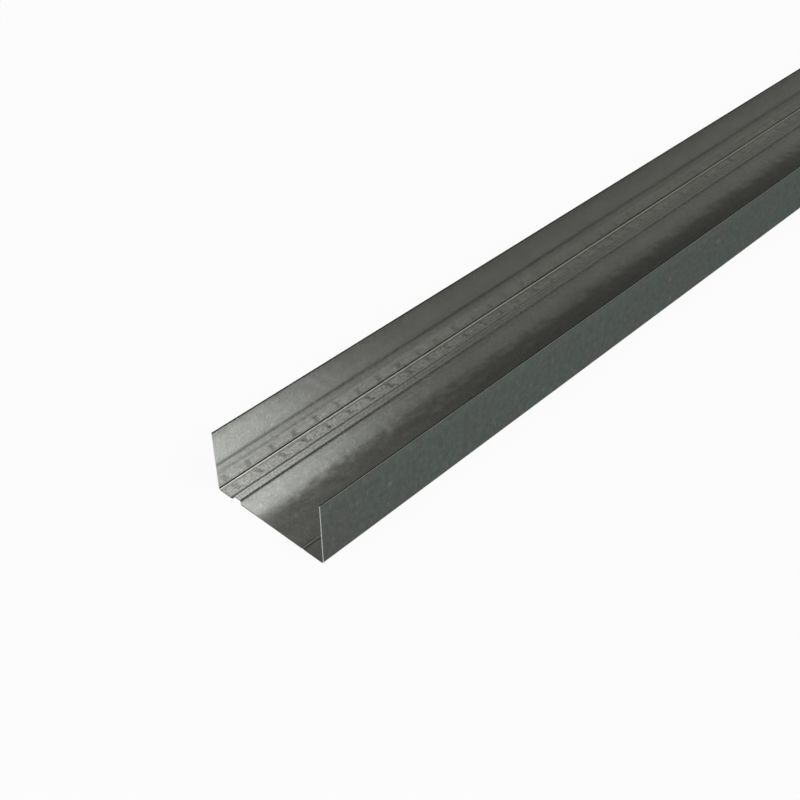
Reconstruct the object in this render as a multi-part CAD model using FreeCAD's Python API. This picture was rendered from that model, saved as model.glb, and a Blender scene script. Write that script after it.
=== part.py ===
import FreeCAD, Part
import math
import os

# Drywall track: one strip of galvanised sheet steel, roll formed into a channel.
# The web lies flat, with a broad shallow rib and a narrow one raised into the channel,
# and a plain leg rises along each side. A shear has nicked the broad rib at both cut ends.
# X runs across the web, Y along the track and Z up the legs. The origin is the middle of the web's underside.
# All sizes are in millimetres.

# Stock
track_length = 3048.0
steel_thickness = 0.48

# Channel
inside_width = 63.5
leg_height = 31.75
corner_inside_radius = 1.1

# Broad rib, on the left half of the web
broad_rib_from_middle = 21.75
broad_rib_foot_width = 5.8
broad_rib_crown_width = 3.1
broad_rib_height = 0.26
broad_rib_inside_radius = 0.8

# Narrow rib, on the right half of the web
narrow_rib_from_middle = 20.15
narrow_rib_foot_width = 1.9
narrow_rib_crown_width = 0.7
narrow_rib_height = 0.17
narrow_rib_inside_radius = 0.25

# Nick that the shear left at the broad rib, deepest along its floor
nick_mouth_width = 5.4
nick_floor_width = 3.6
nick_depth = 1.3


def left_of(direction):
    """The unit vector square to a direction of the section, on its left hand."""
    return FreeCAD.Vector(-direction.z, 0, direction.x)


def rib_folds(across, foot_width, crown_width, height, inside_radius):
    """The four folds of a raised rib, from left to right: place across, level and inside radius."""
    foot_level = steel_thickness / 2
    crown_level = foot_level + height
    return [
        (across - foot_width / 2, foot_level, inside_radius),
        (across - crown_width / 2, crown_level, inside_radius),
        (across + crown_width / 2, crown_level, inside_radius),
        (across + foot_width / 2, foot_level, inside_radius),
    ]


def middle_of_sheet():
    """The middle line of the folded sheet: its sharp corners, each with the inside radius of its bend.

    It runs from the edge of the left leg, down, over the two ribs and up to the edge of the right leg.
    """
    web_level = steel_thickness / 2
    leg_across = inside_width / 2 + steel_thickness / 2
    folds = [(-leg_across, leg_height, None), (-leg_across, web_level, corner_inside_radius)]
    folds += rib_folds(-broad_rib_from_middle, broad_rib_foot_width, broad_rib_crown_width,
                       broad_rib_height, broad_rib_inside_radius)
    folds += rib_folds(narrow_rib_from_middle, narrow_rib_foot_width, narrow_rib_crown_width,
                       narrow_rib_height, narrow_rib_inside_radius)
    folds += [(leg_across, web_level, corner_inside_radius), (leg_across, leg_height, None)]
    return [(FreeCAD.Vector(across, 0, up), radius) for across, up, radius in folds]


def sheet_face(corners, offset):
    """The edges of one face of the sheet, offset to the left of its middle line.

    Straight runs are joined by tangent arcs, and the arcs on the two faces of a bend share one centre.
    """
    places = [place for place, radius in corners]
    runs = [(end - start).normalize() for start, end in zip(places, places[1:])]
    edges = []
    reached = places[0] + left_of(runs[0]) * offset
    for (place, inside_radius), before, after in zip(corners[1:], runs, runs[1:]):
        turn = math.atan2(left_of(before).dot(after), before.dot(after))
        hand = math.copysign(1, turn)
        middle_radius = inside_radius + steel_thickness / 2
        trim = middle_radius * math.tan(abs(turn) / 2)
        centre = place - before * trim + left_of(before) * (hand * middle_radius)
        reach = offset - hand * middle_radius
        halfway = (left_of(before) + left_of(after)).normalize()
        arc_start = centre + left_of(before) * reach
        arc_end = centre + left_of(after) * reach
        edges.append(Part.makeLine(reached, arc_start))
        edges.append(Part.Arc(arc_start, centre + halfway * reach, arc_end).toShape())
        reached = arc_end
    edges.append(Part.makeLine(reached, places[-1] + left_of(runs[-1]) * offset))
    return edges


def formed_strip():
    """The section of the folded sheet, drawn out along the track's length."""
    corners = middle_of_sheet()
    inner_face = sheet_face(corners, steel_thickness / 2)
    outer_face = sheet_face(corners, -steel_thickness / 2)
    left_edge = Part.makeLine(inner_face[0].firstVertex().Point, outer_face[0].firstVertex().Point)
    right_edge = Part.makeLine(inner_face[-1].lastVertex().Point, outer_face[-1].lastVertex().Point)
    outline = Part.Wire(Part.__sortEdges__(inner_face + [right_edge] + outer_face + [left_edge]))
    section = Part.Face(outline)
    section.translate(FreeCAD.Vector(0, -track_length / 2, 0))
    return section.extrude(FreeCAD.Vector(0, track_length, 0))


def near_nick():
    """What the shear took out of the near end: it starts at the left edge of the broad rib's crown."""
    left = -broad_rib_from_middle - broad_rib_crown_width / 2
    end = -track_length / 2
    below = -steel_thickness
    outline = Part.makePolygon([FreeCAD.Vector(across, along, below) for across, along in (
        (left, end - nick_depth),
        (left, end + nick_depth),
        (left + nick_floor_width, end + nick_depth),
        (left + nick_mouth_width, end),
        (left + nick_mouth_width, end - nick_depth),
        (left, end - nick_depth),
    )])
    through = broad_rib_height + 3 * steel_thickness
    return Part.Face(outline).extrude(FreeCAD.Vector(0, 0, through))


def track():
    """The whole track: the formed strip with a nick in each of its two ends."""
    nick = near_nick()
    far_nick = nick.mirror(FreeCAD.Vector(0, 0, 0), FreeCAD.Vector(0, 1, 0))
    return formed_strip().cut([nick, far_nick])


os.makedirs("parts", exist_ok=True)
track().exportStep("parts/track.step")
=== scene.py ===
import logging
import math
from collections.abc import Callable
from dataclasses import dataclass
from enum import Enum
from typing import Any

import bmesh
import bpy
from mathutils import Euler, Matrix, Vector


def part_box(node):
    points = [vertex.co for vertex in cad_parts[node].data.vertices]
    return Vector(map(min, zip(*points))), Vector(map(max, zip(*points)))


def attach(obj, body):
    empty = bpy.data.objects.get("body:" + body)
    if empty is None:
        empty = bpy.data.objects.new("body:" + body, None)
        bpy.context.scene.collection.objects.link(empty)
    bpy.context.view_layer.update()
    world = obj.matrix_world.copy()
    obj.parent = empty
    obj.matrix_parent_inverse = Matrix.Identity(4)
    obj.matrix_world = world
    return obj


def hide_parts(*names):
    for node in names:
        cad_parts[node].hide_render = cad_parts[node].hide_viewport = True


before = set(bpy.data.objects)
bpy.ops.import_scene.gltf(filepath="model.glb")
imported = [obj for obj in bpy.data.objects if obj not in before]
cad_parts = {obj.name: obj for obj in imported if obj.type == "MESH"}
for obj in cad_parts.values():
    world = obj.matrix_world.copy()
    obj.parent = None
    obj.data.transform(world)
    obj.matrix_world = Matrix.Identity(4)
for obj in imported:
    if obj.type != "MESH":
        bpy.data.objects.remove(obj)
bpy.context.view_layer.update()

# The CAD works in millimetres and Blender in metres
MM = 0.001
# Points closer than this, in metres, count as being in line
IN_LINE = 1e-5
# Nearly all values of a noise lie between these two
NOISE_LOW = 0.3
NOISE_HIGH = 0.7

log = logging.getLogger("drywall_track")
Tree = bpy.types.NodeTree
Socket = bpy.types.NodeSocket


def linear(colour: str) -> tuple[float, float, float, float]:
    """Turns an sRGB hex colour into Blender's linear one.

    Args:
        colour: six hex digits, as in "8a8f8c".

    Returns:
        Red, green, blue and an alpha of one.
    """
    parts = [int(colour[i:i + 2], 16) / 255 for i in (0, 2, 4)]
    red, green, blue = (c / 12.92 if c <= 0.04045 else ((c + 0.055) / 1.055) ** 2.4 for c in parts)
    return red, green, blue, 1.0


def add_node(tree: Tree, kind: str, inputs: dict[Any, Any] | None = None,
             **settings: Any) -> bpy.types.Node:
    """Adds one shader node, sets it up and links it.

    Args:
        tree: the node tree that gets the node.
        kind: the node's type, as in "ShaderNodeMath".
        inputs: for each input, by name or number, a value or the output socket that feeds it.
        settings: the node's own settings.

    Returns:
        The new node.
    """
    node = tree.nodes.new(kind)
    for name, value in settings.items():
        setattr(node, name, value)
    for socket, value in (inputs or {}).items():
        if isinstance(value, Socket):
            tree.links.new(value, node.inputs[socket])
        else:
            node.inputs[socket].default_value = value
    return node


def select_edges(piece: bpy.types.Object, wanted: Callable[[Vector, Vector], bool]) -> None:
    """Selects, in edit mode, the edges that pass a test, and nothing else.

    Args:
        piece: the mesh in edit mode.
        wanted: tells from an edge's two ends whether it is selected.
    """
    bpy.ops.mesh.select_mode(type="EDGE")
    bpy.ops.mesh.select_all(action="DESELECT")
    mesh = bmesh.from_edit_mesh(piece.data)
    for edge in mesh.edges:
        edge.select_set(wanted(edge.verts[0].co, edge.verts[1].co))
    bmesh.update_edit_mesh(piece.data)


def select_faces(piece: bpy.types.Object, wanted: Callable[[Vector], bool]) -> None:
    """Selects, in edit mode, the faces that pass a test, and nothing else.

    Args:
        piece: the mesh in edit mode.
        wanted: tells from a face's middle whether it is selected.
    """
    bpy.ops.mesh.select_mode(type="FACE")
    bpy.ops.mesh.select_all(action="DESELECT")
    mesh = bmesh.from_edit_mesh(piece.data)
    for face in mesh.faces:
        face.select_set(wanted(face.calc_center_median()))
    bmesh.update_edit_mesh(piece.data)


class Side(Enum):
    """The sides of the sheet, each with its own finish, and the slot that holds it."""

    INNER = 0
    OUTER = 1
    CUT = 2


class Ramp(Enum):
    """The ways a value can run from one end of a fade to the other."""

    EVEN = "LINEAR"
    SOFT = "SMOOTHSTEP"


class Tint(str, Enum):
    """The sRGB colours that rubbing and soil give the zinc, and those of the painted highlights and painted
    shade laid over it, from bright to dark.
    """

    GLINT = "f6f6f4"
    RUBBED = "f0f0ee"
    SCRAPED = "e8e8e5"
    PRINTED = "dededb"
    BURRED = "b4b9b6"
    WORN = "7c7b77"
    DUSTY = "6c6b66"
    SOILED = "5c5b58"
    GRIMY = "4c4b48"
    CREASE = "2c2b29"
    SLIT = "24231f"


@dataclass(frozen=True)
class Fade:
    """A value that goes from before to after, while what it reads goes from start to stop."""

    start: float
    stop: float
    before: float = 0.0
    after: float = 1.0
    ramp: Ramp = Ramp.EVEN


def multiply_fades(tree: Tree, fades: tuple[tuple[Socket, Fade], ...]) -> Socket:
    """Finds how strongly something shows where several fades bear on it, as their product.

    Args:
        tree: the material's node tree.
        fades: for each one, the output socket that it reads, and the fade.

    Returns:
        The product.
    """
    total = 1.0
    for value, fade in fades:
        held = add_node(tree, "ShaderNodeMapRange",
                        {"Value": value, "From Min": fade.start, "From Max": fade.stop,
                         "To Min": fade.before, "To Max": fade.after}, interpolation_type=fade.ramp.value)
        total = add_node(tree, "ShaderNodeMath", {0: total, 1: held.outputs["Result"]},
                         operation="MULTIPLY").outputs[0]
    return total


@dataclass(frozen=True)
class RollMark:
    """A scuff that a forming roll prints again and again along one line of the web. Sizes in millimetres.

    It is full and gone at these shares of its half width and half length from its middle.
    """

    across: float
    along: float
    half_width: float
    half_length: float
    slant: float
    colour: str
    share: float
    full: float = 0.3
    gone: float = 1.1


@dataclass(frozen=True)
class DrawnLine:
    """A band along the whole track. Some are zinc that a roll rubbed; others are painted highlights, painted
    reflections and painted shade.

    Its middle is a point of the section, across and level. It is full and gone at these shares of its half
    width from there. Sizes in millimetres.
    """

    across: float
    level: float
    half_width: float
    colour: str = Tint.WORN
    share: float = 0.0
    roughness: float = 0.3
    roughness_share: float = 0.0
    full: float = 0.4
    gone: float = 1.2


@dataclass(frozen=True)
class Specks:
    """Fine pale and dark specks in a strip along the web. Sizes in millimetres.

    They spread to both sides of its middle. The pale and the dark fade tell which values of a noise bring a
    speck out. Real specks are about a tenth of a millimetre, too fine to show, so these are drawn coarser.
    """

    size: float = 0.8
    middle: float = -24.5
    spread: Fade = Fade(5.2, 7.0, before=0.4, after=0.0, ramp=Ramp.SOFT)
    pale: Fade = Fade(0.56, 0.72)
    dark: Fade = Fade(0.45, 0.33)
    pale_colour: str = Tint.GLINT
    dark_colour: str = Tint.SOILED


@dataclass(frozen=True)
class Flecks:
    """Single round spots in the zinc. Spacing is in millimetres, and full and gone are shares of it."""

    spacing: float
    colour: str
    share: float
    full: float = 0.02
    gone: float = 0.14


@dataclass(frozen=True)
class Scratches:
    """Short scratches aslant across the sheet, from handling. Sizes in millimetres, the angle in degrees.

    A noise is drawn out to these sizes, and its values from start to stop bring a scratch out.
    """

    share: float
    angle: float = 147.0
    length: float = 5.0
    width: float = 0.45
    height: float = 3.0
    start: float = 0.63
    stop: float = 0.74
    colour: str = Tint.SCRAPED


@dataclass(frozen=True)
class Patterns:
    """What several layers of a finish read: the place in millimetres, and noises from nought to one."""

    place: Socket
    streaks: Socket
    patches: Socket
    pepper: Socket


@dataclass(frozen=True, kw_only=True)
class SheetFinish:
    """Hot-dip galvanised sheet, skin-passed and roll formed. Sizes in millimetres.

    To the eye the zinc is satin and blurs what it mirrors. Clouds a few millimetres wide, where the skin
    pass bit more or less, stir those blurred images and gather in wider patches. Streaks of soil run the way
    the sheet went through the rolls. Real grain and pepper are finer than a pixel and are drawn coarser.
    """

    name: str
    colour: str
    cloud_colour: str
    soil_colour: str = Tint.DUSTY
    edge_tint: str = "ffffff"
    roughness: float
    roughness_spread: float
    cloud_size: float
    cloud_to_patch: float = 0.3
    streak_share: float
    streaks_per_mm: float = 0.9
    streak_stretch: float = 50.0
    pepper_size: float
    pepper_share: float
    pepper_low: float = 0.35
    pepper_high: float = 0.65
    flecks: Flecks
    scratches: Scratches
    specks: Specks | None = None

    # Bands along the track. Where the streaks are faint, a band is too.
    lines: tuple[DrawnLine, ...] = ()
    patchiness: Fade = Fade(NOISE_LOW, 0.6, before=0.6)

    # Printed marks. They are weaker in some patches and grains, and away from the ends.
    marks: tuple[RollMark, ...] = ()
    mark_pitch: float = 13.6
    print_patch: Fade = Fade(0.4, 0.6, before=0.75)
    print_ends: Fade = Fade(1300.0, 1460.0, before=0.5, ramp=Ramp.SOFT)
    print_grain: Fade = Fade(0.42, 0.58, before=0.4)

    # Relief. The waves are strongest in the slack middle of the web and die out towards the ribs, by X.
    wave_lift: float
    waves_left: Fade = Fade(-14.0, -4.0, before=0.15, ramp=Ramp.SOFT)
    waves_right: Fade = Fade(-1.0, 6.0, before=1.0, after=0.3, ramp=Ramp.SOFT)
    grain_size: float = 0.5
    grain_lift: float = 0.0012

    def lay_patterns(self, tree: Tree) -> Patterns:
        """Lays the patterns that more than one layer reads.

        Args:
            tree: the material's node tree.

        Returns:
            The patterns.
        """
        origin = add_node(tree, "ShaderNodeTexCoord")
        scaled = add_node(tree, "ShaderNodeVectorMath",
                          {0: origin.outputs["Object"], 1: (1 / MM, 1 / MM, 1 / MM)}, operation="MULTIPLY")
        place = scaled.outputs[0]
        drawn = add_node(tree, "ShaderNodeVectorMath", {0: place, 1: (1.0, 1 / self.streak_stretch, 1.0)},
                         operation="MULTIPLY")
        streaks = add_node(tree, "ShaderNodeTexNoise",
                           {"Vector": drawn.outputs[0], "Scale": self.streaks_per_mm, "Detail": 3.0})
        patches = add_node(tree, "ShaderNodeTexNoise",
                           {"Vector": place, "Scale": self.cloud_to_patch / self.cloud_size, "Detail": 2.0})
        pepper = add_node(tree, "ShaderNodeTexNoise",
                          {"Vector": place, "Scale": 1 / self.pepper_size, "Detail": 3.0, "Roughness": 0.6})
        return Patterns(place, streaks.outputs["Fac"], patches.outputs["Fac"], pepper.outputs["Fac"])

    def mottle(self, tree: Tree, patterns: Patterns) -> Socket:
        """Colours the zinc, with its patches, its streaks and its pepper one over the other.

        Args:
            tree: the material's node tree.
            patterns: the patterns that the layers read.

        Returns:
            The colour.
        """
        layers = (
            (patterns.patches, NOISE_LOW, NOISE_HIGH, 1.0, self.cloud_colour),
            (patterns.streaks, NOISE_LOW, NOISE_HIGH, self.streak_share, self.soil_colour),
            (patterns.pepper, self.pepper_low, self.pepper_high, self.pepper_share, self.soil_colour),
        )
        colour = linear(self.colour)
        for pattern, low, high, share, tint in layers:
            shown = add_node(tree, "ShaderNodeMapRange",
                             {"Value": pattern, "From Min": low, "From Max": high, "To Min": 0.0,
                              "To Max": share})
            colour = add_node(tree, "ShaderNodeMix",
                              {0: shown.outputs["Result"], 6: colour, 7: linear(tint)},
                              data_type="RGBA").outputs[2]
        return colour

    def blur(self, tree: Tree, place: Socket) -> Socket:
        """Makes the zinc duller and glossier in clouds.

        Args:
            tree: the material's node tree.
            place: the place on the track in millimetres.

        Returns:
            The roughness.
        """
        clouds = add_node(tree, "ShaderNodeTexNoise",
                          {"Vector": place, "Scale": 1 / self.cloud_size, "Detail": 3.0, "Roughness": 0.55})
        rough = add_node(tree, "ShaderNodeMapRange",
                         {"Value": clouds.outputs["Fac"], "From Min": NOISE_LOW, "From Max": NOISE_HIGH,
                          "To Min": self.roughness - self.roughness_spread,
                          "To Max": self.roughness + self.roughness_spread})
        return rough.outputs["Result"]

    def lay_wear_and_painted_light(self, tree: Tree, patterns: Patterns, colour: Socket,
                  rough: Socket) -> tuple[Socket, Socket]:
        """Lays the bands that run along the track over the zinc: wear, and painted highlights and painted
        shade.

        Args:
            tree: the material's node tree.
            patterns: the patterns that the layers read.
            colour: the colour of the zinc.
            rough: its roughness.

        Returns:
            The colour and the roughness with the bands on it.
        """
        fade = self.patchiness
        uneven = add_node(tree, "ShaderNodeMapRange",
                          {"Value": patterns.streaks, "From Min": fade.start, "From Max": fade.stop,
                           "To Min": fade.before, "To Max": fade.after})
        section = add_node(tree, "ShaderNodeVectorMath", {0: patterns.place, 1: (1.0, 0.0, 1.0)},
                           operation="MULTIPLY")
        for line in self.lines:
            aside = add_node(tree, "ShaderNodeVectorMath",
                             {0: section.outputs[0], 1: (line.across, 0.0, line.level)},
                             operation="DISTANCE")
            band = add_node(tree, "ShaderNodeMapRange",
                            {"Value": aside.outputs["Value"], "From Min": line.full * line.half_width,
                             "From Max": line.gone * line.half_width, "To Min": 1.0, "To Max": 0.0},
                            interpolation_type="SMOOTHSTEP")
            if line.share:
                patchy = add_node(tree, "ShaderNodeMath",
                                  {0: band.outputs["Result"], 1: uneven.outputs["Result"]},
                                  operation="MULTIPLY")
                tint = add_node(tree, "ShaderNodeMath", {0: patchy.outputs[0], 1: line.share},
                                operation="MULTIPLY")
                colour = add_node(tree, "ShaderNodeMix",
                                  {0: tint.outputs[0], 6: colour, 7: linear(line.colour)},
                                  data_type="RGBA").outputs[2]
            if line.roughness_share:
                wear = add_node(tree, "ShaderNodeMath",
                                {0: band.outputs["Result"], 1: line.roughness_share}, operation="MULTIPLY")
                rough = add_node(tree, "ShaderNodeMix",
                                 {0: wear.outputs[0], 2: rough, 3: line.roughness}).outputs[0]
        return colour, rough

    def scatter_specks(self, tree: Tree, place: Socket, colour: Socket, specks: Specks) -> Socket:
        """Scatters fine specks where the forming rolls pressed hardest, from the corner to the broad rib.

        Args:
            tree: the material's node tree.
            place: the place on the track in millimetres.
            colour: the colour of the zinc.
            specks: the specks.

        Returns:
            The colour with the specks on it.
        """
        axes = add_node(tree, "ShaderNodeSeparateXYZ", {"Vector": place})
        aside = add_node(tree, "ShaderNodeMath", {0: axes.outputs["X"], 1: specks.middle},
                         operation="SUBTRACT")
        far = add_node(tree, "ShaderNodeMath", {0: aside.outputs[0]}, operation="ABSOLUTE")
        noise = add_node(tree, "ShaderNodeTexNoise",
                         {"Vector": place, "Scale": 1 / specks.size, "Detail": 1.0})
        for fade, tint in ((specks.pale, specks.pale_colour), (specks.dark, specks.dark_colour)):
            share = multiply_fades(tree, ((noise.outputs["Fac"], fade), (far.outputs[0], specks.spread)))
            colour = add_node(tree, "ShaderNodeMix", {0: share, 6: colour, 7: linear(tint)},
                              data_type="RGBA").outputs[2]
        return colour

    def print_marks(self, tree: Tree, patterns: Patterns, colour: Socket) -> Socket:
        """Prints the repeated roll marks over the zinc.

        Args:
            tree: the material's node tree.
            patterns: the patterns that the layers read.
            colour: the colour of the zinc.

        Returns:
            The colour with the marks on it.
        """
        axes = add_node(tree, "ShaderNodeSeparateXYZ", {"Vector": patterns.place})
        from_middle = add_node(tree, "ShaderNodeMath", {0: axes.outputs["Y"]}, operation="ABSOLUTE")
        bite = multiply_fades(tree, ((patterns.patches, self.print_patch),
                                     (from_middle.outputs[0], self.print_ends),
                                     (patterns.pepper, self.print_grain)))
        for mark in self.marks:
            aside = add_node(tree, "ShaderNodeMath", {0: axes.outputs["X"], 1: mark.across},
                             operation="SUBTRACT")
            lean = add_node(tree, "ShaderNodeMath", {0: aside.outputs[0], 1: mark.slant, 2: -mark.along},
                            operation="MULTIPLY_ADD")
            along = add_node(tree, "ShaderNodeMath", {0: axes.outputs["Y"], 1: lean.outputs[0]},
                             operation="ADD")
            turn = add_node(tree, "ShaderNodeMath",
                            {0: along.outputs[0], 1: self.mark_pitch / 2, 2: -self.mark_pitch / 2},
                            operation="WRAP")
            far = add_node(tree, "ShaderNodeMath", {0: turn.outputs[0], 1: mark.half_length},
                           operation="DIVIDE")
            wide = add_node(tree, "ShaderNodeMath", {0: aside.outputs[0], 1: mark.half_width},
                            operation="DIVIDE")
            spot = add_node(tree, "ShaderNodeCombineXYZ", {"X": wide.outputs[0], "Y": far.outputs[0]})
            out = add_node(tree, "ShaderNodeVectorMath", {0: spot.outputs[0]}, operation="LENGTH")
            shown = add_node(tree, "ShaderNodeMapRange",
                             {"Value": out.outputs["Value"], "From Min": mark.full, "From Max": mark.gone,
                              "To Min": mark.share, "To Max": 0.0}, interpolation_type="SMOOTHSTEP")
            bitten = add_node(tree, "ShaderNodeMath", {0: shown.outputs["Result"], 1: bite},
                              operation="MULTIPLY")
            colour = add_node(tree, "ShaderNodeMix",
                              {0: bitten.outputs[0], 6: colour, 7: linear(mark.colour)},
                              data_type="RGBA").outputs[2]
        return colour

    def scuff(self, tree: Tree, place: Socket, colour: Socket) -> Socket:
        """Adds the single flecks and the scratches that handling left.

        Args:
            tree: the material's node tree.
            place: the place on the track in millimetres.
            colour: the colour of the zinc.

        Returns:
            The colour with the flecks and the scratches on it.
        """
        flecks, scratches = self.flecks, self.scratches
        spots = add_node(tree, "ShaderNodeTexVoronoi",
                         {"Vector": place, "Scale": 1 / flecks.spacing, "Randomness": 1.0})
        fleck_mix = add_node(tree, "ShaderNodeMapRange",
                             {"Value": spots.outputs["Distance"], "From Min": flecks.full,
                              "From Max": flecks.gone, "To Min": flecks.share, "To Max": 0.0})
        flecked = add_node(tree, "ShaderNodeMix",
                           {0: fleck_mix.outputs["Result"], 6: colour, 7: linear(flecks.colour)},
                           data_type="RGBA")
        slid = add_node(tree, "ShaderNodeMapping",
                        {"Vector": place, "Rotation": (0.0, 0.0, math.radians(scratches.angle)),
                         "Scale": (scratches.length, scratches.width, scratches.height)},
                        vector_type="TEXTURE")
        scuffs = add_node(tree, "ShaderNodeTexNoise",
                          {"Vector": slid.outputs["Vector"], "Scale": 1.0, "Detail": 1.0})
        scuff_mix = add_node(tree, "ShaderNodeMapRange",
                             {"Value": scuffs.outputs["Fac"], "From Min": scratches.start,
                              "From Max": scratches.stop, "To Min": 0.0, "To Max": scratches.share})
        scratched = add_node(tree, "ShaderNodeMix",
                             {0: scuff_mix.outputs["Result"], 6: flecked.outputs[2],
                              7: linear(scratches.colour)}, data_type="RGBA")
        return scratched.outputs[2]

    def relief(self, tree: Tree, place: Socket) -> Socket:
        """Raises the slow waves of the web and the grain of the zinc, both far too low for the mesh.

        Args:
            tree: the material's node tree.
            place: the place on the track in millimetres.

        Returns:
            The normal.
        """
        axes = add_node(tree, "ShaderNodeSeparateXYZ", {"Vector": place})
        across = axes.outputs["X"]
        slack = multiply_fades(tree, ((across, self.waves_left), (across, self.waves_right)))
        swell = add_node(tree, "ShaderNodeTexNoise",
                         {"Vector": place, "Scale": 1 / self.cloud_size, "Detail": 0.6})
        waves = add_node(tree, "ShaderNodeBump",
                         {"Height": swell.outputs["Fac"], "Distance": self.wave_lift * MM,
                          "Strength": slack})
        grain = add_node(tree, "ShaderNodeTexNoise",
                         {"Vector": place, "Scale": 1 / self.grain_size, "Detail": 2.0})
        pits = add_node(tree, "ShaderNodeBump",
                        {"Height": grain.outputs["Fac"], "Distance": self.grain_lift * MM, "Strength": 1.0,
                         "Normal": waves.outputs["Normal"]})
        return pits.outputs["Normal"]

    def material(self) -> bpy.types.Material:
        """Makes the face's material, layer by layer.

        Returns:
            The material, with its nodes.
        """
        material = bpy.data.materials.new(self.name)
        material.use_nodes = True
        tree = material.node_tree
        tree.nodes.clear()
        patterns = self.lay_patterns(tree)
        colour = self.mottle(tree, patterns)
        rough = self.blur(tree, patterns.place)
        colour, rough = self.lay_wear_and_painted_light(tree, patterns, colour, rough)
        if self.specks:
            colour = self.scatter_specks(tree, patterns.place, colour, self.specks)
        if self.marks:
            colour = self.print_marks(tree, patterns, colour)
        colour = self.scuff(tree, patterns.place, colour)
        normal = self.relief(tree, patterns.place)
        metal = add_node(tree, "ShaderNodeBsdfPrincipled",
                         {"Base Color": colour, "Metallic": 1.0, "Roughness": rough,
                          "Specular Tint": linear(self.edge_tint), "Normal": normal})
        add_node(tree, "ShaderNodeOutputMaterial", {"Surface": metal.outputs["BSDF"]})
        return material


@dataclass(frozen=True)
class ShearedEdge:
    """Bare steel where the strip was cut off, and its slit edges on the legs.

    To the eye it is a pale line, bright where the blade burnished it and matt where it broke. Near the floor
    and along the slit edges it is painted dark, as painted shade. Its grain is drawn coarser than it is.
    Sizes in millimetres.
    """

    top: float
    name: str = "steel_sheared_edge"
    bright: str = "dcddda"
    matt: str = "a4a5a2"
    painted_shade: str = "2a2926"
    grain_size: float = 0.25
    break_low: float = 0.4
    break_high: float = 0.6
    burnished_roughness: float = 0.25
    broken_roughness: float = 0.5
    shade_height: float = 0.6
    slit_start: float = 0.25
    slit_stop: float = 0.08

    def material(self) -> bpy.types.Material:
        """Makes the edge's material.

        Returns:
            The material, with its nodes.
        """
        material = bpy.data.materials.new(self.name)
        material.use_nodes = True
        tree = material.node_tree
        tree.nodes.clear()
        origin = add_node(tree, "ShaderNodeTexCoord")
        grain = add_node(tree, "ShaderNodeTexNoise",
                         {"Vector": origin.outputs["Object"], "Scale": 1 / (self.grain_size * MM),
                          "Detail": 2.0})
        torn = add_node(tree, "ShaderNodeMapRange",
                        {"Value": grain.outputs["Fac"], "From Min": self.break_low,
                         "From Max": self.break_high})
        colour = add_node(tree, "ShaderNodeMix",
                          {0: torn.outputs["Result"], 6: linear(self.bright), 7: linear(self.matt)},
                          data_type="RGBA")
        axes = add_node(tree, "ShaderNodeSeparateXYZ", {"Vector": origin.outputs["Object"]})
        # Painted shade: the edge is darkened near the floor and along the slit edges at the top of the legs
        low = add_node(tree, "ShaderNodeMapRange",
                       {"Value": axes.outputs["Z"], "From Min": self.shade_height * MM,
                        "From Max": 2 * self.shade_height * MM, "To Min": 1.0, "To Max": 0.0})
        high = add_node(tree, "ShaderNodeMapRange",
                        {"Value": axes.outputs["Z"], "From Min": (self.top - self.slit_start) * MM,
                         "From Max": (self.top - self.slit_stop) * MM})
        shaded = add_node(tree, "ShaderNodeMath", {0: low.outputs["Result"], 1: high.outputs["Result"]},
                        operation="MAXIMUM")
        soil = add_node(tree, "ShaderNodeMix",
                        {0: shaded.outputs[0], 6: colour.outputs[2], 7: linear(self.painted_shade)},
                        data_type="RGBA")
        rough = add_node(tree, "ShaderNodeMapRange",
                         {"Value": torn.outputs["Result"], "To Min": self.burnished_roughness,
                          "To Max": self.broken_roughness})
        metal = add_node(tree, "ShaderNodeBsdfPrincipled",
                         {"Base Color": soil.outputs[2], "Metallic": 1.0,
                          "Roughness": rough.outputs["Result"]})
        add_node(tree, "ShaderNodeOutputMaterial", {"Surface": metal.outputs["BSDF"]})
        return material


@dataclass(frozen=True)
class Rib:
    """A shallow rib along the web. Sizes in millimetres, those of the sheet's middle folded sharp."""

    across: float
    foot_width: float
    crown_width: float
    height: float
    inside_radius: float

    @property
    def folds(self) -> list[float]:
        """The four places across the web where the sheet is folded, from left to right."""
        widths = (-self.foot_width, -self.crown_width, self.crown_width, self.foot_width)
        return [self.across + width / 2 for width in widths]

    @property
    def turn(self) -> float:
        """The angle that each of its folds turns through."""
        return math.atan2(self.height, (self.foot_width - self.crown_width) / 2)


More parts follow.
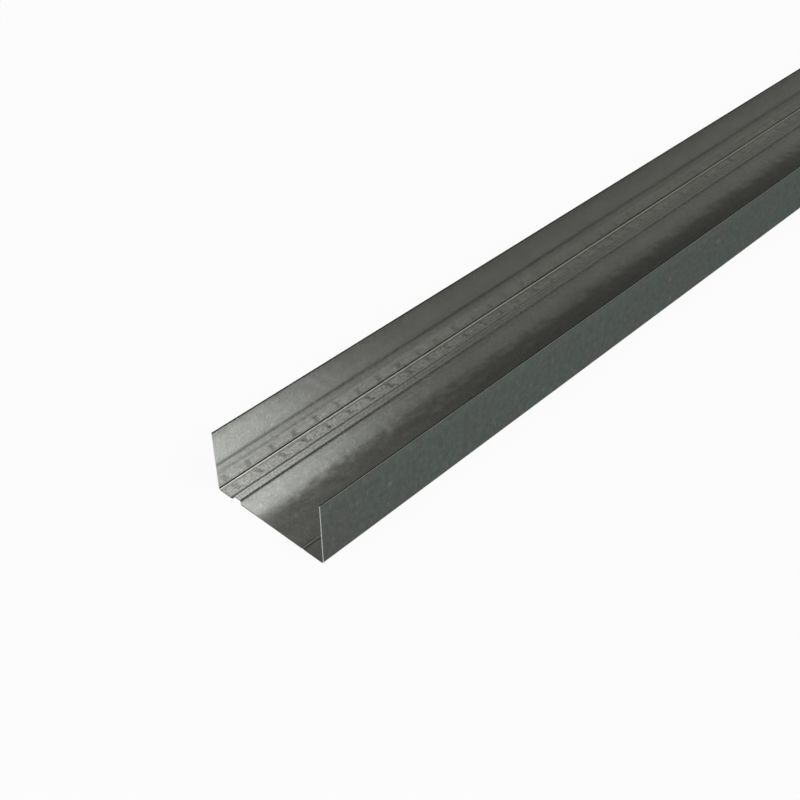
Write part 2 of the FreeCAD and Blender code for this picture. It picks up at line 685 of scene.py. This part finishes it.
@dataclass
class Track:
    """One strip of sheet steel, roll formed into a channel: a web with two ribs, and two legs.

    Sizes in millimetres, those of the sheet's middle folded sharp, and angles in degrees. Lengths is how
    many equal parts the strip is divided into along Y, so that no face is a sliver three metres long.
    """

    length: float = 3048.0
    sheet: float = 0.48
    inside_width: float = 63.5
    leg_height: float = 31.75
    corner_inside_radius: float = 1.1
    broad_rib: Rib = Rib(-21.75, 5.8, 3.1, 0.26, 0.8)
    narrow_rib: Rib = Rib(20.15, 1.9, 0.7, 0.17, 0.25)
    nick_mouth_width: float = 5.4
    nick_floor_width: float = 3.6
    nick_depth: float = 1.3
    burr_radius: float = 0.05
    burr_steps: int = 2
    burr_angle: float = 60.0
    arc_steps: int = 8
    lengths: int = 60
    smooth_angle: float = 40.0
    flat_weight: int = 90

    @property
    def web_level(self) -> float:
        """The height of the web's middle surface."""
        return self.sheet / 2

    @property
    def leg_across(self) -> float:
        """How far each leg's middle surface stands from the middle of the web."""
        return self.inside_width / 2 + self.sheet / 2

    def lay_strip(self) -> bpy.types.Object:
        """Lays the flat web of the channel, as wide as the legs stand apart.

        Returns:
            The strip, in edit mode.
        """
        bpy.ops.object.select_all(action="DESELECT")
        bpy.ops.mesh.primitive_plane_add(size=MM, location=(0, 0, self.web_level * MM))
        strip = bpy.context.object
        strip.name = strip.data.name = "formed_track"
        bpy.ops.object.mode_set(mode="EDIT")
        bpy.ops.mesh.select_all(action="SELECT")
        bpy.ops.transform.resize(value=(2 * self.leg_across, self.length, 1))
        bpy.ops.object.mode_set(mode="OBJECT")
        bpy.ops.object.transform_apply(location=True, rotation=True, scale=True)
        bpy.ops.object.mode_set(mode="EDIT")
        return strip

    def raise_rib(self, strip: bpy.types.Object, rib: Rib) -> None:
        """Cuts the web along a rib's folds and lifts its crown.

        Args:
            strip: the flat strip, in edit mode.
            rib: the rib.
        """
        for across in rib.folds:
            bpy.ops.mesh.select_all(action="SELECT")
            bpy.ops.mesh.bisect(plane_co=(across * MM, 0, 0), plane_no=(1, 0, 0))
        reach = rib.crown_width / 2 * MM
        select_faces(strip, lambda place: abs(place.x - rib.across * MM) < reach)
        bpy.ops.transform.translate(value=(0, 0, rib.height * MM))

    def raise_legs(self, strip: bpy.types.Object) -> None:
        """Draws the two long edges of the web up into the legs.

        Args:
            strip: the strip with its ribs, in edit mode.
        """
        side = (self.leg_across - self.sheet) * MM
        select_edges(strip, lambda a, b: abs(a.x) > side and abs(b.x) > side and a.x * b.x > 0)
        height = (self.leg_height - self.web_level) * MM
        bpy.ops.mesh.extrude_region_move(TRANSFORM_OT_translate={"value": (0, 0, height)})

    def round_folds(self, strip: bpy.types.Object) -> None:
        """Turns each sharp fold into an arc that is tangent to both flats.

        Args:
            strip: the folded strip, in edit mode.
        """
        folds = [(self.corner_inside_radius, math.pi / 2, [-self.leg_across, self.leg_across])]
        folds += [(rib.inside_radius, rib.turn, rib.folds) for rib in (self.broad_rib, self.narrow_rib)]
        below = self.leg_height / 2 * MM
        for inside_radius, turn, lines in folds:
            select_edges(strip, lambda a, b: a.z < below and abs(a.x - b.x) < IN_LINE
                         and abs(a.y - b.y) > IN_LINE
                         and any(abs(a.x - across * MM) < IN_LINE for across in lines))
            offset = (inside_radius + self.sheet / 2) * math.tan(turn / 2) * MM
            bpy.ops.mesh.bevel(offset=offset, segments=self.arc_steps, profile=0.5, affect="EDGES")

    def thicken(self, strip: bpy.types.Object) -> None:
        """Divides the strip along its length and gives the sheet its thickness and its cut edges.

        Args:
            strip: the formed middle surface, in edit mode, with a slot for each side.
        """
        select_edges(strip, lambda a, b: abs(a.y - b.y) > IN_LINE)
        bpy.ops.mesh.subdivide(number_cuts=self.lengths - 1)
        bpy.ops.mesh.select_all(action="SELECT")
        bpy.ops.mesh.normals_make_consistent(inside=True)
        bpy.ops.object.mode_set(mode="OBJECT")
        wall = strip.modifiers.new("sheet", "SOLIDIFY")
        wall.thickness = self.sheet * MM
        wall.offset = 0.0
        wall.use_even_offset = True
        wall.material_offset = Side.OUTER.value
        wall.material_offset_rim = Side.CUT.value
        bpy.ops.object.modifier_apply(modifier=wall.name)

    def break_edges(self, strip: bpy.types.Object) -> None:
        """Takes the sharpness off the cut edges.

        Args:
            strip: the solid strip, in object mode.
        """
        burr = strip.modifiers.new("burr", "BEVEL")
        burr.width = self.burr_radius * MM
        burr.segments = self.burr_steps
        burr.limit_method = "ANGLE"
        burr.angle_limit = math.radians(self.burr_angle)
        bpy.ops.object.modifier_apply(modifier=burr.name)

    def nick_cutter(self, end: float, slots: list[bpy.types.Material]) -> bpy.types.Object:
        """Makes the block that takes a nick out of one end, from the left edge of the broad rib's crown.

        Args:
            end: where that end lies along Y, in millimetres.
            slots: the strip's materials.

        Returns:
            The block, in object mode, with bare steel on its faces.
        """
        left = self.broad_rib.across - self.broad_rib.crown_width / 2
        bpy.ops.object.select_all(action="DESELECT")
        middle = ((left + self.nick_mouth_width / 2) * MM, end * MM, -self.sheet * MM)
        bpy.ops.mesh.primitive_plane_add(size=MM, location=middle)
        cutter = bpy.context.object
        for slot in slots:
            cutter.data.materials.append(slot)
        bpy.ops.object.mode_set(mode="EDIT")
        bpy.ops.mesh.select_all(action="SELECT")
        bpy.ops.transform.resize(value=(self.nick_mouth_width, 2 * self.nick_depth, 1))
        bpy.ops.object.mode_set(mode="OBJECT")
        bpy.ops.object.transform_apply(location=True, rotation=True, scale=True)
        bpy.ops.object.mode_set(mode="EDIT")
        bpy.ops.mesh.select_all(action="SELECT")
        bpy.ops.mesh.bisect(plane_co=(0, end * MM, 0), plane_no=(0, 1, 0))
        floor = (end - math.copysign(self.nick_depth, end)) * MM
        select_edges(cutter, lambda a, b: abs(a.y - floor) < IN_LINE and abs(b.y - floor) < IN_LINE)
        bpy.ops.transform.resize(value=(self.nick_floor_width / self.nick_mouth_width, 1, 1),
                                 center_override=(left * MM, floor, 0))
        bpy.ops.mesh.select_all(action="SELECT")
        through = (self.broad_rib.height + 3 * self.sheet) * MM
        bpy.ops.mesh.extrude_region_move(TRANSFORM_OT_translate={"value": (0, 0, through)})
        bpy.ops.mesh.select_all(action="SELECT")
        bpy.ops.mesh.normals_make_consistent(inside=False)
        cutter.active_material_index = Side.CUT.value
        bpy.ops.object.material_slot_assign()
        bpy.ops.object.mode_set(mode="OBJECT")
        return cutter

    def nick(self, strip: bpy.types.Object, end: float) -> None:
        """Takes out of one end the nick that the shear left at the broad rib.

        Args:
            strip: the solid strip, in object mode.
            end: where that end lies along Y, in millimetres.
        """
        cutter = self.nick_cutter(end, list(strip.data.materials))
        bpy.ops.object.select_all(action="DESELECT")
        strip.select_set(True)
        bpy.context.view_layer.objects.active = strip
        cut = strip.modifiers.new("nick", "BOOLEAN")
        cut.operation = "DIFFERENCE"
        cut.solver = "EXACT"
        cut.object = cutter
        bpy.ops.object.modifier_apply(modifier=cut.name)
        bpy.data.objects.remove(cutter)

    def smooth(self, strip: bpy.types.Object) -> None:
        """Smooths the bends and keeps the flats flat.

        Args:
            strip: the nicked strip, in object mode.
        """
        bpy.ops.object.shade_smooth_by_angle(angle=math.radians(self.smooth_angle))
        flats = strip.modifiers.new("flats", "WEIGHTED_NORMAL")
        flats.weight = self.flat_weight
        flats.keep_sharp = True
        bpy.ops.object.modifier_apply(modifier=flats.name)

    def build(self) -> bpy.types.Object:
        """Forms the strip, side by side with its finishes.

        Returns:
            The finished piece.
        """
        strip = self.lay_strip()
        self.dress(strip)
        for rib in (self.broad_rib, self.narrow_rib):
            self.raise_rib(strip, rib)
        self.raise_legs(strip)
        self.round_folds(strip)
        self.thicken(strip)
        self.break_edges(strip)
        for end in (-self.length / 2, self.length / 2):
            self.nick(strip, end)
        self.smooth(strip)
        return strip

    def inner_lines(self) -> tuple[DrawnLine, ...]:
        """The bands on the inner face, in the order they are laid on: wear from the rolls, painted
        highlights, a painted reflection and painted shade.

        Returns:
            The bands.
        """
        face = self.sheet
        flank = face + 0.1
        broad_crown = face + self.broad_rib.height
        narrow_crown = face + self.narrow_rib.height
        left_leg = -self.inside_width / 2
        right_leg = self.inside_width / 2
        return (
            # Rubbed strip between the left corner and the broad rib: duller and paler, with a dark border
            DrawnLine(-27.3, face, 5.0, roughness=0.3, roughness_share=0.75),
            DrawnLine(-28.0, face, 3.2, Tint.RUBBED, 0.32),
            DrawnLine(-29.6, face, 1.6, Tint.RUBBED, 0.24),
            DrawnLine(-25.95, face, 0.9, Tint.GRIMY, 0.15),
            # The broad rib is a little duller than the web
            DrawnLine(-21.7, face, 3.0, roughness=0.3, roughness_share=0.2),
            # Left corner: darker and duller along the leg's foot, painted shade deep in the bend, a painted
            # highlight on the bend's edge below, and a grey line on the web beside it
            DrawnLine(-31.7, 3.0, 5.0, Tint.DUSTY, 0.3, roughness=0.26, roughness_share=0.3),
            DrawnLine(-31.65, 1.1, 0.42, Tint.CREASE, 0.9),
            DrawnLine(-31.0, 0.54, 0.36, Tint.GLINT, 0.7),
            DrawnLine(-30.3, face, 0.4, Tint.WORN, 0.4),
            # Left leg: a painted reflection of the broad rib, a thin dark line with a broad faint one below
            # it
            DrawnLine(left_leg, 14.1, 1.1, Tint.GRIMY, 0.42),
            DrawnLine(left_leg, 11.4, 2.6, Tint.GRIMY, 0.14),
            # Both legs: painted shade, a dark line along the slit edge
            DrawnLine(left_leg, self.leg_height, 0.55, Tint.SLIT, 0.8),
            DrawnLine(right_leg, self.leg_height, 0.55, Tint.SLIT, 0.8),
            # Broad rib: painted shade at its right foot and just beside it, a faint grey line further right,
            # a painted highlight on the crown with a painted dark thread, and a painted highlight on the
            # left flank
            DrawnLine(-19.6, face, 0.7, Tint.GRIMY, 0.25),
            DrawnLine(-16.5, face, 0.8, Tint.WORN, 0.15),
            DrawnLine(-21.9, broad_crown, 1.9, Tint.RUBBED, 0.2),
            DrawnLine(-22.05, broad_crown, 0.6, Tint.SOILED, 0.28),
            DrawnLine(-24.15, flank, 1.0, Tint.RUBBED, 0.28),
            DrawnLine(-18.4, face, 0.65, Tint.GRIMY, 0.18),
            # Middle of the web: a faint painted highlight and a faint painted shade, where the mirrored
            # light gives way to dark
            DrawnLine(-4.5, face, 2.2, Tint.RUBBED, 0.12),
            DrawnLine(6.0, face, 4.6, Tint.GRIMY, 0.12),
            # Narrow rib: a painted highlight on the crown between painted shade at both feet
            DrawnLine(19.35, face, 0.4, Tint.SOILED, 0.7),
            DrawnLine(20.1, narrow_crown, 0.35, Tint.SCRAPED, 0.8),
            DrawnLine(20.9, face, 0.4, Tint.SOILED, 0.7),
        )

    def inner_marks(self) -> tuple[RollMark, ...]:
        """The marks a forming roll printed beside the left corner: three dark scuffs and two pale scrapes.

        Returns:
            One turn of the roll, at the near end.
        """
        near_end = -self.length / 2
        return (
            RollMark(-28.9, near_end + 5.6, 1.3, 2.1, -0.2, Tint.GRIMY, 0.7),
            RollMark(-27.8, near_end + 6.0, 1.0, 1.3, -0.2, Tint.GRIMY, 0.5),
            RollMark(-26.6, near_end + 6.4, 1.2, 2.3, -0.2, Tint.GRIMY, 0.8),
            RollMark(-27.9, near_end + 8.6, 0.5, 1.6, -0.5, Tint.PRINTED, 0.5),
            RollMark(-25.7, near_end + 6.6, 0.4, 1.3, -0.5, Tint.PRINTED, 0.5),
        )

    def outer_lines(self) -> tuple[DrawnLine, ...]:
        """The bands on the legs' outer faces, both painted highlights: a pale glint line under each slit
        edge, and a faint wide one below.

        Returns:
            The bands.
        """
        outside = self.leg_across + self.sheet / 2
        glints = ((self.leg_height - 0.15, 0.35, 0.3), (28.6, 2.4, 0.02))
        return tuple(DrawnLine(across, level, half_width, Tint.BURRED, share)
                     for level, half_width, share in glints for across in (-outside, outside))

    def dress(self, strip: bpy.types.Object) -> None:
        """Gives each side of the sheet its finish, in the order of its slots.

        Args:
            strip: the strip before it has its thickness.
        """
        finishes = {
            # The channel's inside is the smoother face: it mirrors the legs as soft light and shade
            Side.INNER: SheetFinish(
                name="galvanised_steel_skin_passed_inner_face", colour="bbbdbb", cloud_colour="b5b6b6",
                roughness=0.17, roughness_spread=0.025, cloud_size=6.0, wave_lift=0.12, streak_share=0.10,
                pepper_size=1.1, pepper_share=0.24, flecks=Flecks(11.0, "d4d4d0", 0.25),
                scratches=Scratches(0.35), specks=Specks(), lines=self.inner_lines(),
                marks=self.inner_marks()),
            # The outside is painted darker and greener than the inside, as painted shade for the dark
            # surroundings it mirrors, and it is duller, with few marks
            Side.OUTER: SheetFinish(
                name="galvanised_steel_skin_passed_outer_face", colour="59635e", cloud_colour="5c5f5c",
                soil_colour="3c3a38", edge_tint="bcbcbc", roughness=0.28, roughness_spread=0.05,
                cloud_size=8.0, wave_lift=0.05, streak_share=0.04, pepper_size=3.2, pepper_share=0.3,
                flecks=Flecks(13.0, "a9b0ad", 0.2), scratches=Scratches(0.05), lines=self.outer_lines()),
            Side.CUT: ShearedEdge(top=self.leg_height),
        }
        for side in Side:
            strip.data.materials.append(finishes[side].material())


@dataclass(frozen=True)
class Softbox:
    """A distant round softbox. Its bearing from +Y towards +X, height and half width are in degrees.

    Its radiance is how bright it looks, where a white surface in full light is one.
    """

    name: str
    azimuth: float
    elevation: float
    radius: float
    radiance: float

    def hang(self) -> None:
        """Adds the lamp to the scene."""
        lamp = bpy.data.lights.new(self.name, "SUN")
        lamp.angle = math.radians(2 * self.radius)
        lamp.energy = self.radiance * math.pi * math.sin(math.radians(self.radius)) ** 2
        holder = bpy.data.objects.new(self.name, lamp)
        bpy.context.scene.collection.objects.link(holder)
        holder.rotation_euler = (math.radians(90 - self.elevation), 0, math.radians(180 - self.azimuth))


@dataclass(frozen=True)
class Camera:
    """The camera, which stands as the photograph's does. Angles in degrees.

    Lens and sensor are in millimetres. The eye is in metres from the middle of the track's near end.
    """

    lens: float = 55.99
    sensor: float = 36.0
    eye: tuple[float, float, float] = (0.2937, -0.2283, 0.3626)
    down: float = 38.888
    left: float = 43.714
    roll: float = -0.717
    nearest: float = 0.01
    farthest: float = 200.0

    def place(self, near_end: float) -> None:
        """Adds the camera to the scene.

        Args:
            near_end: where the track's near end lies along Y, in metres.
        """
        camera = bpy.data.cameras.new("camera")
        camera.lens = self.lens
        camera.sensor_width = self.sensor
        camera.clip_start = self.nearest
        camera.clip_end = self.farthest
        holder = bpy.data.objects.new("camera", camera)
        bpy.context.scene.collection.objects.link(holder)
        holder.location = (self.eye[0], near_end + self.eye[1], self.eye[2])
        aim = Euler((math.radians(90 - self.down), 0, math.radians(self.left))).to_matrix()
        holder.rotation_euler = (aim @ Matrix.Rotation(math.radians(self.roll), 3, "Z")).to_euler()
        bpy.context.scene.camera = holder


@dataclass
class Studio:
    """A plain pale floor under soft light, and the camera. Sizes in millimetres.

    The surround glows at the horizon, and its walls give the zinc light and shade to mirror. The horizon's
    fade reads the sine of the height. Each wall is the sine of a bearing towards +X, and its glow there.
    """

    floor_side: float = 60000.0
    floor_gap: float = 0.02
    floor_colour: str = "f4f4f3"
    floor_glow: float = 0.93
    glow_colour: str = "ffffff"
    sky_colour: str = "fffff5"
    horizon: Fade = Fade(0.02, 0.24, before=0.75, after=0.0, ramp=Ramp.SOFT)
    walls: tuple[tuple[float, float], ...] = (
        (-0.80, 0.06), (-0.60, 0.42), (-0.55, 0.2), (-0.50, 0.09), (-0.42, 0.08),
        (-0.34, 0.09), (-0.26, 0.15), (0.06, 0.13), (0.26, 0.42), (0.45, 0.46))
    softboxes: tuple[Softbox, ...] = (
        Softbox("key_middle", azimuth=73.2, elevation=50, radius=17.4, radiance=1.22),
        Softbox("key_rim", azimuth=73.2, elevation=50, radius=20.6, radiance=1.36),
        Softbox("fill", azimuth=180, elevation=60, radius=30, radiance=0.8))
    camera: Camera = Camera()

    def paint(self) -> bpy.types.Material:
        """Makes the floor's matt paint: near white to the eye and in the zinc, but it still takes a shadow.

        Returns:
            The material.
        """
        material = bpy.data.materials.new("painted_backdrop_matt")
        material.use_nodes = True
        tree = material.node_tree
        tree.nodes.clear()
        rays = add_node(tree, "ShaderNodeLightPath")
        sheen = add_node(tree, "ShaderNodeMath",
                         {0: rays.outputs["Is Camera Ray"], 1: rays.outputs["Is Glossy Ray"]},
                         operation="MAXIMUM")
        shown = add_node(tree, "ShaderNodeMath",
                         {0: sheen.outputs[0], 1: rays.outputs["Is Transmission Ray"]}, operation="MAXIMUM")
        glow = add_node(tree, "ShaderNodeMath", {0: shown.outputs[0], 1: self.floor_glow},
                        operation="MULTIPLY")
        paint = add_node(tree, "ShaderNodeBsdfDiffuse", {"Color": linear(self.floor_colour)})
        light = add_node(tree, "ShaderNodeEmission", {"Color": linear(self.glow_colour), "Strength": 1.0})
        both = add_node(tree, "ShaderNodeMixShader",
                        {0: glow.outputs[0], 1: paint.outputs["BSDF"], 2: light.outputs["Emission"]})
        add_node(tree, "ShaderNodeOutputMaterial", {"Surface": both.outputs["Shader"]})
        return material

    def lay_floor(self) -> None:
        """Lays the floor just under the track."""
        bpy.ops.object.select_all(action="DESELECT")
        bpy.ops.mesh.primitive_plane_add(size=self.floor_side * MM, location=(0, 0, -self.floor_gap * MM))
        floor = bpy.context.object
        floor.name = "floor"
        floor.data.materials.append(self.paint())

    def surround(self) -> None:
        """Sets the soft surround: pale at the horizon, dim above, a little brighter on the right."""
        world = bpy.data.worlds.new("soft_surround")
        bpy.context.scene.world = world
        world.use_nodes = True
        tree = world.node_tree
        tree.nodes.clear()
        place = add_node(tree, "ShaderNodeTexCoord")
        way = add_node(tree, "ShaderNodeSeparateXYZ", {"Vector": place.outputs["Generated"]})
        fade = self.horizon
        total = add_node(tree, "ShaderNodeMapRange",
                         {"Value": way.outputs["Z"], "From Min": fade.start, "From Max": fade.stop,
                          "To Min": fade.before, "To Max": fade.after},
                         interpolation_type=fade.ramp.value).outputs["Result"]
        for (start, before), (stop, after) in zip(self.walls, self.walls[1:]):
            step = add_node(tree, "ShaderNodeMapRange",
                            {"Value": way.outputs["X"], "From Min": start, "From Max": stop, "To Min": 0.0,
                             "To Max": after - before}, interpolation_type="SMOOTHSTEP")
            total = add_node(tree, "ShaderNodeMath", {0: total, 1: step.outputs["Result"]},
                             operation="ADD").outputs[0]
        first_glow = self.walls[0][1]
        total = add_node(tree, "ShaderNodeMath", {0: total, 1: first_glow}, operation="ADD").outputs[0]
        sky = add_node(tree, "ShaderNodeBackground", {"Color": linear(self.sky_colour), "Strength": total})
        add_node(tree, "ShaderNodeOutputWorld", {"Surface": sky.outputs["Background"]})

    def build(self, near_end: float) -> None:
        """Sets up the whole studio.

        Args:
            near_end: where the track's near end lies along Y, in metres.
        """
        self.lay_floor()
        self.surround()
        for softbox in self.softboxes:
            softbox.hang()
        self.camera.place(near_end)
        bpy.context.scene.view_settings.view_transform = "Standard"


def main() -> None:
    """Builds the track and its studio in order, and reports each piece."""
    logging.basicConfig(level=logging.INFO, format="%(message)s")
    low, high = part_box("track")
    strip = Track().build()
    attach(strip, "root")
    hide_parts("track")
    log.info("formed_track: %d faces, box of the node %s to %s", len(strip.data.polygons), tuple(low),
             tuple(high))
    Studio().build(low.y)
    log.info("studio: floor, surround, three softboxes and the camera")


if __name__ == "__main__":
    main()
